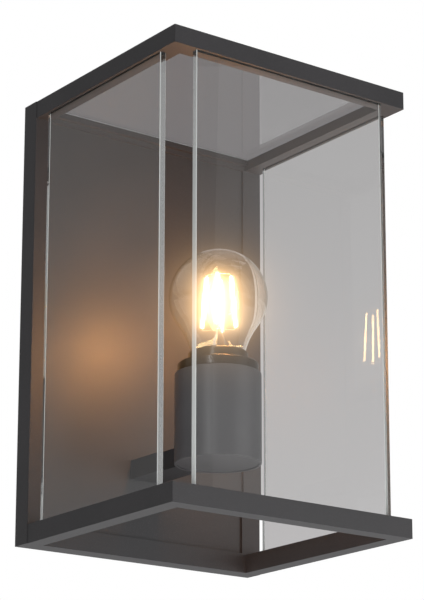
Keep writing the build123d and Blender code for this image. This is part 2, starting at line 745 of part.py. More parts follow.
def clamp_screw_heights():
    return (BLOCK_LOW + CLAMP_INSET, BLOCK_HIGH - CLAMP_INSET)


def insert_outline(x):
    """The brass clamp of one pole, and the pocket in the block that holds it."""
    across = (x - INSERT_HALF, x + INSERT_HALF)
    depth = (WIRE_Y - INSERT_HALF, WIRE_Y + 2.0)
    return block(across, depth, (BLOCK_LOW + INSERT_END, BLOCK_HIGH - INSERT_END))


def make_terminal_block():
    body = block((-BLOCK_HALF, BLOCK_HALF), (PANEL_BACK, BLOCK_BACK), (BLOCK_LOW, BLOCK_HIGH))
    for x in pole_places():
        body -= insert_outline(x)
        body -= upright(BLOCK_WIRE_HOLE, BLOCK_LOW - PAST, BLOCK_HIGH + PAST, x, WIRE_Y)
        for z in clamp_screw_heights():
            body -= along_y(BLOCK_SCREW_HOLE, WIRE_Y, 0, x, z)
    return body


def make_terminal_inserts():
    inserts = []
    for x in pole_places():
        insert = insert_outline(x) - upright(CLAMP_RADIUS, BLOCK_LOW, BLOCK_HIGH, x, WIRE_Y)
        for z in clamp_screw_heights():
            insert -= along_y(CLAMP_RADIUS, WIRE_Y, 0, x, z)
        inserts.append(insert)
    return group(inserts)


def make_terminal_screws():
    screws = []
    for x in pole_places():
        for z in clamp_screw_heights():
            crown = BLOCK_BACK - 0.6
            screw = along_y(CLAMP_RADIUS, WIRE_Y + WIRE_RADIUS + 0.1, crown, x, z)
            slot = Pos(x, crown, z) * Box(3 * CLAMP_RADIUS, PAST, 0.5)
            screws.append(screw - slot)
    return group(screws)


def make_nodes():
    bottom_slots = (BOTTOM_FRAME_TOP - SLOT_DEPTH, BOTTOM_FRAME_TOP)
    top_slots = (TOP_FRAME_UNDER, TOP_FRAME_UNDER + SLOT_DEPTH)
    return {
        "wall_gasket": make_wall_gasket(),
        "wall_bracket": make_wall_bracket(),
        "lock_screws": make_lock_screws(),
        "cable_grommet": make_cable_grommet(),
        "back_box": make_back_box(),
        "back_panel": make_back_panel(),
        "frame_screws": make_frame_screws(),
        "top_frame": make_top_frame(),
        "bottom_frame": make_bottom_frame(),
        "left_glass": make_side_glass(-1),
        "right_glass": make_side_glass(1),
        "front_glass": make_front_glass(),
        "roof_glass": make_roof_glass(),
        "roof_seal": make_roof_seal(),
        "top_glazing_rubbers": make_glazing(*top_slots),
        "bottom_glazing_rubbers": make_glazing(*bottom_slots),
        "arm": make_arm(),
        "socket_cup": make_socket_cup(),
        "lampholder": make_lampholder(),
        "holder_screws": make_holder_screws(),
        "screw_shell": make_screw_shell(),
        "centre_contact": make_centre_contact(),
        "seal_collar": make_seal_collar(),
        "bulb_glass": make_bulb_glass(),
        "bulb_cap": make_bulb_cap(),
        "bulb_insulator": make_bulb_insulator(),
        "bulb_tip": make_bulb_tip(),
        "bulb_driver": make_bulb_driver(),
        "bulb_stem": make_bulb_stem(),
        "led_filaments": make_filaments(),
        "filament_wires": make_filament_wires(),
        "live_lead": make_lead(-POLE_PITCH),
        "neutral_lead": make_lead(0),
        "earth_lead": make_earth_lead(),
        "earth_lug": make_earth_lug(),
        "earth_stud": make_earth_stud(),
        "earth_nut": make_earth_nut(),
        "terminal_block": make_terminal_block(),
        "terminal_inserts": make_terminal_inserts(),
        "terminal_screws": make_terminal_screws(),
    }


os.makedirs("parts", exist_ok=True)
for name, shape in make_nodes().items():
    export_step(shape, f"parts/{name}.step")
    print(name)
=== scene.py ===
# %% [markdown]
# # An outdoor wall lantern
# The lantern is a shallow box on a wall. It carries an open frame at the top and one at the
# bottom, with three clear panes between them, and an upright cup that holds a clear bulb.
# The shapes with real sizes come ready-made from the CAD model, as a fixed frame in metres.
# This lesson adds what Blender is for: the finishes, the glass, the light, and the few pieces
# that need more shape than a plain outline gives, such as the rolled thread on the bulb's cap.

# %% Load the frame
import math

import bmesh
import bpy
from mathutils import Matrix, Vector


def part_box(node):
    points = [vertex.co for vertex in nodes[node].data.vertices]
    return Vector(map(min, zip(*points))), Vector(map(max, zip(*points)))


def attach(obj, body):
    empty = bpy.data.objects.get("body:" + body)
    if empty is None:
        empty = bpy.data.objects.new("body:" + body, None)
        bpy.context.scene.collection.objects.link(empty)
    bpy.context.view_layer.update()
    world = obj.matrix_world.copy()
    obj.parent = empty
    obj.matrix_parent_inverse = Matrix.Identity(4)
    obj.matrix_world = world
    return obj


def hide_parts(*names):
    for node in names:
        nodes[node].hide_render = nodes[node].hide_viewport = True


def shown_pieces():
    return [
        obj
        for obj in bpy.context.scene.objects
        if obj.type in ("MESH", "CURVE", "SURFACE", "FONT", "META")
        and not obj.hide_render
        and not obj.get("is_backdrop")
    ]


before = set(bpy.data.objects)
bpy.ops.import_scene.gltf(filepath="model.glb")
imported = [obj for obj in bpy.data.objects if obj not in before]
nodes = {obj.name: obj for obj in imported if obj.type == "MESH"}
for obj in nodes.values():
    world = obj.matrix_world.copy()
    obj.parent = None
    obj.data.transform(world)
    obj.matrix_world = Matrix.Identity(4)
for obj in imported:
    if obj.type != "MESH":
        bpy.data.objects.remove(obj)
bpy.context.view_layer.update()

MM = 0.001

# %% [markdown]
# ## Sums on sockets
# A finish is a small sum: so much grain, so much drift, clipped here and there. Wired by hand
# that is a dozen Math nodes. A class that wraps one socket and teaches it plus, minus and
# times lets the same sum be written as one line, and the nodes are added as Python reads it.

# %% One socket that can do sums


class Socket:
    """One output of a shader node. Sums on it add Math nodes to its finish."""

    def __init__(self, finish, output):
        self.finish = finish
        self.output = output

    def maths(self, operation, *values):
        settings = {"operation": operation}
        return self.finish.node("ShaderNodeMath", settings, dict(enumerate(values)))

    def __add__(self, other):
        return self.maths("ADD", self, other)

    def __sub__(self, other):
        return self.maths("SUBTRACT", self, other)

    def __rsub__(self, other):
        return self.maths("SUBTRACT", other, self)

    def __mul__(self, other):
        return self.maths("MULTIPLY", self, other)

    def __gt__(self, other):
        return self.maths("GREATER_THAN", self, other)

    def __abs__(self):
        return self.maths("ABSOLUTE", self)

    __radd__ = __add__
    __rmul__ = __mul__


# %% One finish, and the one way to add a node to it


def set_stops(ramp, stops):
    """Puts (position, colour) stops on a colour ramp."""
    while len(ramp.elements) < len(stops):
        ramp.elements.new(1.0)
    for element, (position, shade) in zip(ramp.elements, stops):
        element.position = position
        element.color = shade


class Finish:
    """The shader of a material or a world, under construction."""

    def __init__(self, owner, ending="ShaderNodeOutputMaterial"):
        self.owner = owner
        self.ending = ending
        owner.use_nodes = True
        self.tree = owner.node_tree
        self.tree.nodes.clear()

    def node(self, kind, settings=None, links=None, output=0):
        """Adds a node, sets its settings, then its sockets, and returns one output."""
        made = self.tree.nodes.new(kind)
        for name, value in (settings or {}).items():
            if name == "stops":
                set_stops(made.color_ramp, value)
            else:
                setattr(made, name, value)
        for name, value in (links or {}).items():
            if isinstance(value, Socket):
                self.tree.links.new(value.output, made.inputs[name])
            else:
                made.inputs[name].default_value = value
        return Socket(self, made.outputs[output]) if made.outputs else None

    def done(self, shader):
        self.node(self.ending, {}, {"Surface": shader})
        return self.owner


# %% [markdown]
# ## The studio
# Clear glass only looks clear when there is something even behind it. The room is plain white
# straight behind the lantern and a calm grey where the eye looks through glass, a little darker
# higher up. For the light that falls on the lantern it is dimmer still, so that the softboxes
# can shape it. A world shader tells these apart by the kind of ray, which a painted backdrop
# couldn't.

# %% Colours


def screen(red, green, blue):
    """A colour as a screen shows it, from 0 to 255, made linear as shaders want it."""

    def linear(value):
        share = value / 255
        return share / 12.92 if share <= 0.04045 else ((share + 0.055) / 1.055) ** 2.4

    return (linear(red), linear(green), linear(blue), 1.0)


def grey(share):
    return (share, share, share, 1.0)


# %% Room and backdrop
BACKDROP = 1.0
BEHIND_GLASS = 0.68
HIGHER_DARKER = 0.62
ROOM = 0.27

scene = bpy.context.scene
scene.view_settings.view_transform = "Standard"
studio = Finish(bpy.data.worlds.new("studio"), "ShaderNodeOutputWorld")
direction = studio.node("ShaderNodeTexCoord", output="Generated")
rise = studio.node("ShaderNodeSeparateXYZ", {}, {0: direction}, "Z")
seen = studio.node("ShaderNodeLightPath", output="Is Camera Ray")
bent = studio.node("ShaderNodeLightPath", output="Is Transmission Ray")
behind = BEHIND_GLASS - HIGHER_DARKER * abs(rise)
room = studio.node("ShaderNodeBackground", {}, {"Color": grey(1.0), "Strength": ROOM})
pale_rose = screen(255, 252, 253)
through = studio.node("ShaderNodeBackground", {}, {"Color": pale_rose, "Strength": behind})
backdrop = studio.node("ShaderNodeBackground", {}, {"Color": grey(1.0), "Strength": BACKDROP})
chosen = studio.node("ShaderNodeMixShader", {}, {0: bent, 1: room, 2: through})
chosen = studio.node("ShaderNodeMixShader", {}, {0: seen, 1: chosen, 2: backdrop})
scene.world = studio.done(chosen)
print("room", ROOM, "behind glass", BEHIND_GLASS, "backdrop", BACKDROP)

# %% [markdown]
# ## The floor
# The lantern hangs on a wall, so the floor lies well below it. It matters even out of sight:
# the undersides of the frames see nothing else, and its paleness is what lights them. It also
# shines a little of its own, because a lamp near it would leave a bright pool.

# %% Floor
FLOOR_DEPTH = 0.50
FLOOR_HALF = 40.0
FLOOR_SHINE = 0.45

sheet = bmesh.new()
corners = [(-1, -1), (1, -1), (1, 1), (-1, 1)]
places = [(x * FLOOR_HALF, y * FLOOR_HALF, -FLOOR_DEPTH) for x, y in corners]
sheet.faces.new([sheet.verts.new(spot) for spot in places])
floor_mesh = bpy.data.meshes.new("floor")
sheet.to_mesh(floor_mesh)
sheet.free()
floor = bpy.data.objects.new("floor", floor_mesh)
scene.collection.objects.link(floor)
floor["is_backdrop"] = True

paper = Finish(bpy.data.materials.new("floor_paper"))
place = paper.node("ShaderNodeTexCoord", output="Object")
mottle = paper.node("ShaderNodeTexNoise", {}, {"Vector": place, "Scale": 3.0, "Detail": 3.0})
stops = [(0.3, grey(0.80)), (0.7, grey(0.84))]
pale = paper.node("ShaderNodeValToRGB", {"stops": stops}, {"Fac": mottle})
links = {"Base Color": pale, "Roughness": 0.9}
links.update({"Emission Color": pale, "Emission Strength": FLOOR_SHINE})
matt = paper.node("ShaderNodeBsdfPrincipled", {}, links)
floor_mesh.materials.append(paper.done(matt))
print("floor is", FLOOR_DEPTH, "m under the middle of the lantern")

# %% [markdown]
# ## Lights
# Large, soft panels stand in for a product studio's softboxes: one overhead, one low in front,
# one at the left, one underneath, and a broad one at the right that lays a faint veil on the
# panes. A tall, narrow one serves the cup and its collar alone, which is arranged further down.
# Small lamps would put hard spots on the satin coat.

# %% Softboxes


def softbox(name, place, aim, wide, tall, power):
    """A soft light wide by tall metres at place that faces aim."""
    data = bpy.data.lights.new(name, "AREA")
    data.shape = "RECTANGLE"
    data.size = wide
    data.size_y = tall
    data.energy = power
    lamp = bpy.data.objects.new(name, data)
    scene.collection.objects.link(lamp)
    lamp.location = place
    lamp.rotation_euler = (Vector(aim) - Vector(place)).to_track_quat("-Z", "Y").to_euler()
    lamp.visible_camera = False
    lamp.visible_transmission = False
    print(name, "at", place, "power", power)
    return lamp


CENTRE = (0.0, -0.08, 0.0)
softbox("overhead", (0.3, -0.2, 1.7), CENTRE, 1.6, 1.6, 9.5)
low_front = softbox("low_front", (0.7, -1.3, -0.21), CENTRE, 0.9, 0.5, 4.6)
left_front = softbox("left_front", (-1.45, -0.75, -0.05), CENTRE, 0.7, 0.7, 1.25)
cup_sheen = softbox("cup_sheen", (-1.4, -0.85, 0.05), CENTRE, 0.30, 0.8, 4.6)
softbox("underneath", (0.1, -0.45, -0.46), (0.1, -0.35, 0.0), 1.1, 0.8, 1.0)
softbox("right_veil", (1.15, -1.65, 0.35), CENTRE, 1.1, 1.1, 1.2)

# %% [markdown]
# ## The camera
# It stands low and to the left, looking up at the lantern through a long lens, so that the
# uprights stay nearly parallel. The lens is shifted a little to hold the lantern in the frame.

# %% Camera
AZIMUTH = math.radians(-36.775)
ELEVATION = math.radians(-14.652)
LENS = 137.98
SENSOR = 36.0
SHIFT_X = -0.0217
SHIFT_Y = 0.1667
CAMERA_PLACE = (-0.80604, -1.17242, -0.40806)

lens = bpy.data.cameras.new("camera")
lens.lens = LENS
lens.sensor_width = SENSOR
lens.shift_x = SHIFT_X
lens.shift_y = SHIFT_Y
camera = bpy.data.objects.new("camera", lens)
scene.collection.objects.link(camera)
level = math.cos(ELEVATION)
back = Vector((math.sin(AZIMUTH) * level, -math.cos(AZIMUTH) * level, math.sin(ELEVATION)))
camera.location = CAMERA_PLACE
camera.rotation_mode = "QUATERNION"
camera.rotation_quaternion = (-back).to_track_quat("-Z", "Y")
scene.camera = camera
print("camera", round(camera.location.length, 2), "m from the wall's middle")

# %% [markdown]
# ## Ways to vary a surface
# Nothing real is one flat colour. Three small helpers give every finish its variation: cloudy
# noise for drift and grain, scattered cells for flecks, and a ramp that turns a value into a
# colour. All read the place on the piece in metres, so a 0.5 mm grain is 0.5 mm everywhere.

# %% Noise, cells and ramps


def clouds(finish, size, detail=2.0, stretch=(1.0, 1.0, 1.0)):
    """Noise whose lumps are about size metres across, drawn out along an axis by stretch."""
    place = finish.node("ShaderNodeTexCoord", output="Object")
    place = finish.node("ShaderNodeMapping", {}, {"Vector": place, "Scale": stretch})
    links = {"Vector": place, "Scale": 1.0 / size, "Detail": detail}
    return finish.node("ShaderNodeTexNoise", {}, links)


def flecks(finish, size):
    """The distance to the nearest of many points scattered about size metres apart."""
    place = finish.node("ShaderNodeTexCoord", output="Object")
    return finish.node("ShaderNodeTexVoronoi", {}, {"Vector": place, "Scale": 1.0 / size})


def ramp(finish, value, *stops):
    """A value turned into the colour between (position, colour) stops."""
    return finish.node("ShaderNodeValToRGB", {"stops": stops}, {"Fac": value})


def mixed(finish, share, first, second):
    """Two colours mixed by share."""
    return finish.node("ShaderNodeMix", {"data_type": "RGBA"}, {0: share, 6: first, 7: second}, 2)


def relief(finish, height, depth):
    """A normal that leans as if the surface rose by depth metres where height is 1."""
    return finish.node("ShaderNodeBump", {}, {"Height": height, "Distance": depth})


def coated(finish, **links):
    """Ends a finish in the Principled shader. A _ in a socket's name stands for a space."""
    named = {name.replace("_", " "): value for name, value in links.items()}
    return finish.done(finish.node("ShaderNodeBsdfPrincipled", {}, named))


# %% [markdown]
# ## Powder coat
# The steel and aluminium are sprayed with charcoal powder and baked. It melts into a satin
# skin with a very fine orange peel, a few lighter grains, and slow drifts in gloss where it
# lies thicker. Paint of one colour would look like plastic, so each is its own layer: under a
# millimetre for the peel and the grains, a few millimetres for a ripple, centimetres for the
# drift. The cup wears the same charcoal coat, but its copy here is painted lighter to stand in
# for the light that falls on it, and it is glossier than that of the frames.

# %% Charcoal powder coat
PEEL_SIZE = 0.55 * MM
RIPPLE_SIZE = 2.4 * MM
DRIFT_SIZE = 45 * MM
FLECK_SIZE = 0.8 * MM
FLECK_SHARE = 0.32
SKIN_DEPTH = 0.013 * MM


def powder_coat(name, deep, light, fleck, dullness):
    coat = Finish(bpy.data.materials.new(name))
    peel = clouds(coat, PEEL_SIZE, 2.0)
    ripple = clouds(coat, RIPPLE_SIZE, 1.0)
    drift = clouds(coat, DRIFT_SIZE, 3.0)
    grain = ramp(coat, flecks(coat, FLECK_SIZE), (0.10, grey(1.0)), (0.28, grey(0.0)))
    body = ramp(coat, drift * 0.6 + peel * 0.4, (0.30, deep), (0.72, light))
    body = mixed(coat, grain * FLECK_SHARE, body, fleck)
    gloss = dullness + 0.10 * peel + 0.10 * drift
    skin = relief(coat, peel * 0.7 + ripple * 0.3, SKIN_DEPTH)
    return coated(coat, Base_Color=body, Roughness=gloss, Normal=skin, IOR=1.5)


charcoal = powder_coat(
    "powder_coat", screen(46, 45, 47), screen(58, 56, 58), screen(104, 102, 105), 0.42
)
# The cup's copy of the charcoal coat: painted lighter, as painted light on the cup.
charcoal_painted_lighter = powder_coat(
    "cup_coat", screen(68, 66, 68), screen(84, 82, 84), screen(132, 129, 133), 0.30
)
print(charcoal.name, "has", len(charcoal.node_tree.nodes), "nodes")

# %% [markdown]
# ## Clear glass
# A pane bends and mirrors light, and it also lets a lamp shine straight through. A glass
# shader does the first well but throws a full shadow, so the shader swaps to a transparent one
# for every ray but those that the eye follows. A trace of ripple and a few smears of dried
# water keep it from being perfect. A pane's cut edge is ground, so it is whitish; on top of
# that, light is painted into it: whiter low down, with a painted highlight line at each corner.
# The way a face looks tells an edge from a flat.

# %% Pane, bulb and stem glass
EDGE_TINT = screen(244, 248, 246)
# Painted light on the cut edges: a highlight line at each corner, and more white low down.
CORNER_PAINTED_HIGHLIGHT = 1.0
LOW_PAINTED_LIGHT = 0.9
HALF_TALL = 0.13
LOOKS_FLAT = 0.9
LOOKS_CORNER = 0.3


def cut_edge_with_painted_light(glass, flat, ground_and_painted_light):
    """Where the cut edges are, if the flat faces look along flat, and how white they are, with
    painted light: whiter low down and a painted highlight along each corner.
    """
    facing = glass.node("ShaderNodeTexCoord", output="Normal")
    facing = abs(glass.node("ShaderNodeSeparateXYZ", {}, {0: facing}, flat))
    place = glass.node("ShaderNodeTexCoord", output="Object")
    height = glass.node("ShaderNodeSeparateXYZ", {}, {0: place}, "Z")
    haze = clouds(glass, 5 * MM, 1.0) - 0.5
    edge = 1.0 - (facing > LOOKS_FLAT)
    # Painted light: the edge is whiter low down, and each corner gets a painted highlight line.
    whiteness_with_painted_light = ground_and_painted_light * (1.0 - (LOW_PAINTED_LIGHT / HALF_TALL) * height) + 0.04 * haze
    return edge * whiteness_with_painted_light + (facing > LOOKS_CORNER) * edge * CORNER_PAINTED_HIGHLIGHT


def clear_glass(name, tint, ripple_size, ripple_depth, smear, flat=None, ground_and_painted_light=0.0):
    glass = Finish(bpy.data.materials.new(name))
    ripple = relief(glass, clouds(glass, ripple_size, 1.0), ripple_depth)
    film = ramp(glass, clouds(glass, 30 * MM, 4.0), (0.52, grey(0.0)), (0.75, grey(smear)))
    links = {"Base Color": tint, "Roughness": film, "Normal": ripple}
    links.update({"IOR": 1.5, "Transmission Weight": 1.0})
    bending = glass.node("ShaderNodeBsdfPrincipled", {}, links)
    clear = glass.node("ShaderNodeBsdfTransparent", {}, {"Color": tint})
    if flat:
        links = {"Base Color": EDGE_TINT, "Roughness": 0.5 + 0.2 * film}
        cut = glass.node("ShaderNodeBsdfPrincipled", {}, links)
        links = {0: cut_edge_with_painted_light(glass, flat, ground_and_painted_light), 1: bending, 2: cut}
        bending = glass.node("ShaderNodeMixShader", {}, links)
    seen = glass.node("ShaderNodeLightPath", output="Is Camera Ray")
    bent = glass.node("ShaderNodeLightPath", output="Is Transmission Ray")
    shader = glass.node("ShaderNodeMixShader", {}, {0: seen + bent, 1: clear, 2: bending})
    return glass.done(shader)


WATER_WHITE = (0.985, 0.99, 0.987, 1.0)
# The roof pane is the same clear glass as the others; its grey tint is painted shade on the dim
# view up through it.
ROOF_PAINTED_SHADE_GREY = (0.51, 0.495, 0.50, 1.0)
DRAWN_FLAT = (120 * MM, 0.02 * MM, 0.03)
# The last number is how white each pane's cut edge is: its ground finish plus painted light.
pane_glass = clear_glass("pane_glass", WATER_WHITE, *DRAWN_FLAT, "Y", 0.52)
side_glass = clear_glass("side_glass", WATER_WHITE, *DRAWN_FLAT, "X", 0.04)
roof_glass = clear_glass("roof_glass", ROOF_PAINTED_SHADE_GREY, *DRAWN_FLAT, "Z", 0.10)
bulb_clear = clear_glass("bulb_clear", (1.0, 0.97, 0.93, 1.0), 14 * MM, 0.02 * MM, 0.02)
stem_clear = clear_glass("stem_clear", (1.0, 0.97, 0.92, 1.0), 3 * MM, 0.05 * MM, 0.10)
print("glass:", pane_glass.name, bulb_clear.name, stem_clear.name)

# %% [markdown]
# ## Rubber, silicone and plastic
# The panes sit in soft black rubber, the bulb's neck in a firmer silicone collar, and the
# wires end in a nylon block. Moulded parts share one recipe: a deep colour, a dull or silky
# skin with the mould's fine grain, and a dusting that makes the dull patches paler.

# %% Moulded materials


def moulded(name, shade, dusty, gloss, grain_size, grain_depth, sheen=0.0):
    skin = Finish(bpy.data.materials.new(name))
    grain = clouds(skin, grain_size, 2.0)
    patch = clouds(skin, 9 * MM, 3.0)
    dust = ramp(skin, patch, (0.45, grey(0.0)), (0.80, grey(1.0)))
    body = mixed(skin, dust * 0.5 + grain * 0.15, shade, dusty)
    rough = gloss + 0.12 * patch + 0.08 * grain
    normal = relief(skin, grain, grain_depth)
    return coated(skin, Base_Color=body, Roughness=rough, Normal=normal, Sheen_Weight=sheen)


black_rubber = moulded(
    "black_rubber", screen(22, 22, 22), screen(46, 45, 44), 0.55, 0.9 * MM, 0.05 * MM, 0.1
)
silicone = moulded(
    "collar_silicone", screen(20, 18, 18), screen(34, 31, 30), 0.12, 0.8 * MM, 0.012 * MM
)
sponge = moulded(
    "sponge_rubber", screen(36, 36, 37), screen(66, 65, 64), 0.75, 1.4 * MM, 0.30 * MM, 0.3
)
nylon = moulded(
    "block_nylon", screen(224, 220, 208), screen(196, 190, 176), 0.34, 0.7 * MM, 0.02 * MM
)
insulator = moulded(
    "insulator_black", screen(18, 18, 20), screen(40, 40, 42), 0.12, 1.1 * MM, 0.02 * MM
)
board = moulded("driver_board", screen(34, 88, 52), screen(70, 112, 78), 0.30, 0.6 * MM, 0.03 * MM)
print("moulded finishes made")

# %% [markdown]
# ## Glazed porcelain
# The lampholder has to stand the heat of a bulb, so it is fired porcelain: off-white, glossy,
# with a few iron specks under the glaze and a slight waviness where the glaze pooled.

# %% Porcelain


def porcelain():
    clay = Finish(bpy.data.materials.new("holder_ceramic"))
    pool = clouds(clay, 6 * MM, 2.0)
    speck = ramp(clay, flecks(clay, 2.6 * MM), (0.05, grey(1.0)), (0.09, grey(0.0)))
    body = ramp(clay, pool, (0.3, screen(226, 222, 212)), (0.7, screen(238, 235, 227)))
    body = mixed(clay, speck * 0.5, body, screen(120, 96, 70))
    glaze = relief(clay, pool, 0.08 * MM)
    links = {"Base_Color": body, "Roughness": 0.20 + 0.12 * pool, "Normal": glaze}
    return coated(clay, **links, Coat_Weight=0.5, Coat_Roughness=0.06)


ceramic = porcelain()
print(ceramic.name)

# %% [markdown]
# ## Bare and plated metal
# Screws, the cap, the shell and the wall bracket are metal. Drawn and rolled metal is streaked
# along one way, zinc plating shows cloudy crystals, and every handled part has dull marks.
# One recipe takes the two colours, the streaks' direction and the share of tarnish.

# %% Metals


def metal(name, shade, tarnish, gloss, streaks, dullness=0.5, crystals=0.0):
    bare = Finish(bpy.data.materials.new(name))
    streak = clouds(bare, 0.5 * MM, 2.0, streaks)
    stain = clouds(bare, 7 * MM, 4.0)
    marks = ramp(bare, stain, (0.42, grey(0.0)), (0.78, grey(1.0)))
    body = mixed(bare, marks * dullness, shade, tarnish)
    rough = gloss + 0.14 * streak + 0.18 * marks
    if crystals:
        spangle = flecks(bare, crystals)
        body = mixed(bare, spangle * 0.55, body, tarnish)
        rough = rough + 0.12 * spangle
    lines = relief(bare, streak, 0.012 * MM)
    return coated(bare, Base_Color=body, Roughness=rough, Normal=lines, Metallic=1.0 - 0.12 * marks)


ROUND_Z = (1.0, 1.0, 8.0)
ALONG_Z = (6.0, 6.0, 0.4)
ALONG_Y = (6.0, 0.4, 6.0)
zinc = metal(
    "zinc_steel", screen(196, 200, 202), screen(150, 154, 156), 0.30, (3.0, 3.0, 0.4), 0.4, 5 * MM
)
steel = metal("steel_screw", screen(205, 204, 200), screen(140, 138, 134), 0.22, ALONG_Y)
brass = metal("shell_brass", screen(214, 178, 104), screen(150, 112, 62), 0.24, ROUND_Z)
nickel = metal("cap_nickel", screen(222, 218, 208), screen(160, 152, 140), 0.18, ROUND_Z)
solder = metal(
    "tip_solder", screen(190, 190, 188), screen(128, 128, 126), 0.30, (1.0, 1.0, 1.0), 0.7
)
copper = metal("tinned_copper", screen(210, 204, 194), screen(186, 138, 104), 0.26, ALONG_Y)
wire_metal = metal("filament_metal", screen(204, 196, 186), screen(150, 136, 122), 0.24, ALONG_Z)
print("metals made")

# %% [markdown]
# ## Wire insulation
# Each lead keeps its own colour, so that it can be told apart behind the panel. The earth lead
# is the odd one: yellow with green stripes moulded along it, which needs a mask across the wire.

# %% Leads


def insulation(name, shade, pale, stripe=None):
    skin = Finish(bpy.data.materials.new(name))
    rub = clouds(skin, 4 * MM, 3.0)
    body = mixed(skin, rub * 0.5, shade, pale)
    if stripe:
        place = skin.node("ShaderNodeTexCoord", output="Object")
        across = skin.node("ShaderNodeSeparateXYZ", {}, {0: place}, "Y")
        side = abs(across + 6.5 * MM) > 0.55 * MM
        body = mixed(skin, side, body, stripe)
    normal = relief(skin, clouds(skin, 0.6 * MM, 1.0), 0.02 * MM)
    return coated(skin, Base_Color=body, Roughness=0.30 + 0.16 * rub, Normal=normal)


brown = insulation("lead_brown", screen(92, 52, 30), screen(112, 70, 46))
blue = insulation("lead_blue", screen(40, 92, 170), screen(70, 118, 186))
green = insulation("lead_green", screen(226, 196, 40), screen(232, 208, 80), screen(40, 128, 60))
print("insulation made")

# %% [markdown]
# ## Glowing phosphor
# A filament is a strip of tiny blue lamps under a yellow skin of phosphor. Lit, it is so much
# brighter than its surroundings that it shows almost white, with darker ends where it is cold.

# %% Phosphor
GLOW = 18.0


def phosphor():
    skin = Finish(bpy.data.materials.new("filament_phosphor"))
    bead = clouds(skin, 1.1 * MM, 1.0)
    glow = ramp(skin, bead, (0.25, (1.0, 0.66, 0.30, 1.0)), (0.75, (1.0, 0.80, 0.46, 1.0)))
    normal = relief(skin, bead, 0.10 * MM)
    links = {"Base_Color": screen(236, 196, 96), "Roughness": 0.42 + 0.1 * bead, "Normal": normal}
    return coated(skin, **links, Emission_Color=glow, Emission_Strength=GLOW)


warm_phosphor = phosphor()
print("filaments glow at", GLOW)

# %% [markdown]
# ## Finishes onto the frame's own pieces
# A piece that came with the right shape stays, and its plain slot gets the finish made for it.
# The name of the material it came with says which one that is.

# %% Give out the finishes
FINISHES = {
    "powder_coat": charcoal,
    "pane_glass": pane_glass,
    "bulb_clear": bulb_clear,
    "stem_glass": stem_clear,
    "black_rubber": black_rubber,
    "collar_silicone": silicone,
    "sponge_rubber": sponge,
    "zinc_steel": zinc,
    "steel_screw": steel,
    "holder_ceramic": ceramic,
    "shell_brass": brass,
    "cap_nickel": nickel,
    "insulator_black": insulator,
    "tip_solder": solder,
    "driver_board": board,
    "filament_phosphor": warm_phosphor,
    "filament_metal": wire_metal,
    "lead_brown": brown,
    "lead_blue": blue,
    "lead_green": green,
    "tinned_copper": copper,
    "block_nylon": nylon,
}
SIDE_PANES = ("left_glass", "right_glass")
for piece in nodes.values():
    for holder in piece.material_slots:
        holder.material = FINISHES[holder.material.name.split(".")[0]]
# The cup gets the copy of the coat that is painted lighter, standing in for light on it.
nodes["socket_cup"].material_slots[0].material = charcoal_painted_lighter
nodes["roof_glass"].material_slots[0].material = roof_glass
for name in SIDE_PANES:
    nodes[name].material_slots[0].material = side_glass
print(len(nodes), "pieces finished")

# %% [markdown]
# ## Softer edges
# No coated edge is razor sharp: the powder draws back from a corner and leaves a small round
# that catches a thin line of light. The frame's meshes must not change, but a modifier may sit
# on them. Weld joins the corners that the import split, Bevel rounds the sharp edges, and
# Weighted Normal keeps the flats flat. The cup's edges are rounded a little less.

# %% Round the coated edges
ROUND = 0.55 * MM
CUP_ROUND = 0.4 * MM
ROUND_STEPS = 3
SHARPER_THAN = math.radians(40)


def soften(piece, width):
    weld = piece.modifiers.new("join", "WELD")
    weld.merge_threshold = 0.001 * MM
    bevel = piece.modifiers.new("round", "BEVEL")
    bevel.width = width
    bevel.segments = ROUND_STEPS
    bevel.limit_method = "ANGLE"
    bevel.angle_limit = SHARPER_THAN
    bevel.miter_outer = "MITER_ARC"
    bevel.harden_normals = False
    bevel.use_clamp_overlap = True
    weights = piece.modifiers.new("flats", "WEIGHTED_NORMAL")
    weights.keep_sharp = False


for name in ("top_frame", "bottom_frame", "back_box"):
    soften(nodes[name], ROUND)
soften(nodes["socket_cup"], CUP_ROUND)
print("coated edges rounded by", ROUND / MM, "mm, the cup's by", CUP_ROUND / MM, "mm")

# %% [markdown]
# ## Making a piece
# The new pieces are turned shapes or bent wires about the lamp's own axis. Its place and the
# heights come from the boxes of the pieces they stand for, so nothing has to be fitted by eye.

# %% Lamp axis and the helpers
bulb_low, bulb_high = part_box("bulb_glass")
AXIS_X = (bulb_low.x + bulb_high.x) / 2
AXIS_Y = (bulb_low.y + bulb_high.y) / 2
BULB_RADIUS = (bulb_high.x - bulb_low.x) / 2
BULB_MIDDLE = bulb_high.z - BULB_RADIUS
print("lamp axis at", round(AXIS_Y / MM, 1), "mm, bulb radius", round(BULB_RADIUS / MM, 1), "mm")


def add_piece(name, shape, finish, body, slot, *stands_for):
    """A finished mesh as a piece that rides on a body and stands for CAD nodes."""
    bmesh.ops.remove_doubles(shape, verts=shape.verts, dist=0.0005 * MM)
    bmesh.ops.recalc_face_normals(shape, faces=shape.faces)
    mesh = bpy.data.meshes.new(name)
    shape.to_mesh(mesh)
    shape.free()
    mesh.shade_smooth()
    mesh.set_sharp_from_angle(angle=math.radians(38))
    mesh.materials.append(finish)
    piece = bpy.data.objects.new(name, mesh)
    scene.collection.objects.link(piece)
    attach(piece, body)
    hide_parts(*stands_for)
    print(name, "has", len(mesh.polygons), "faces")
    return piece


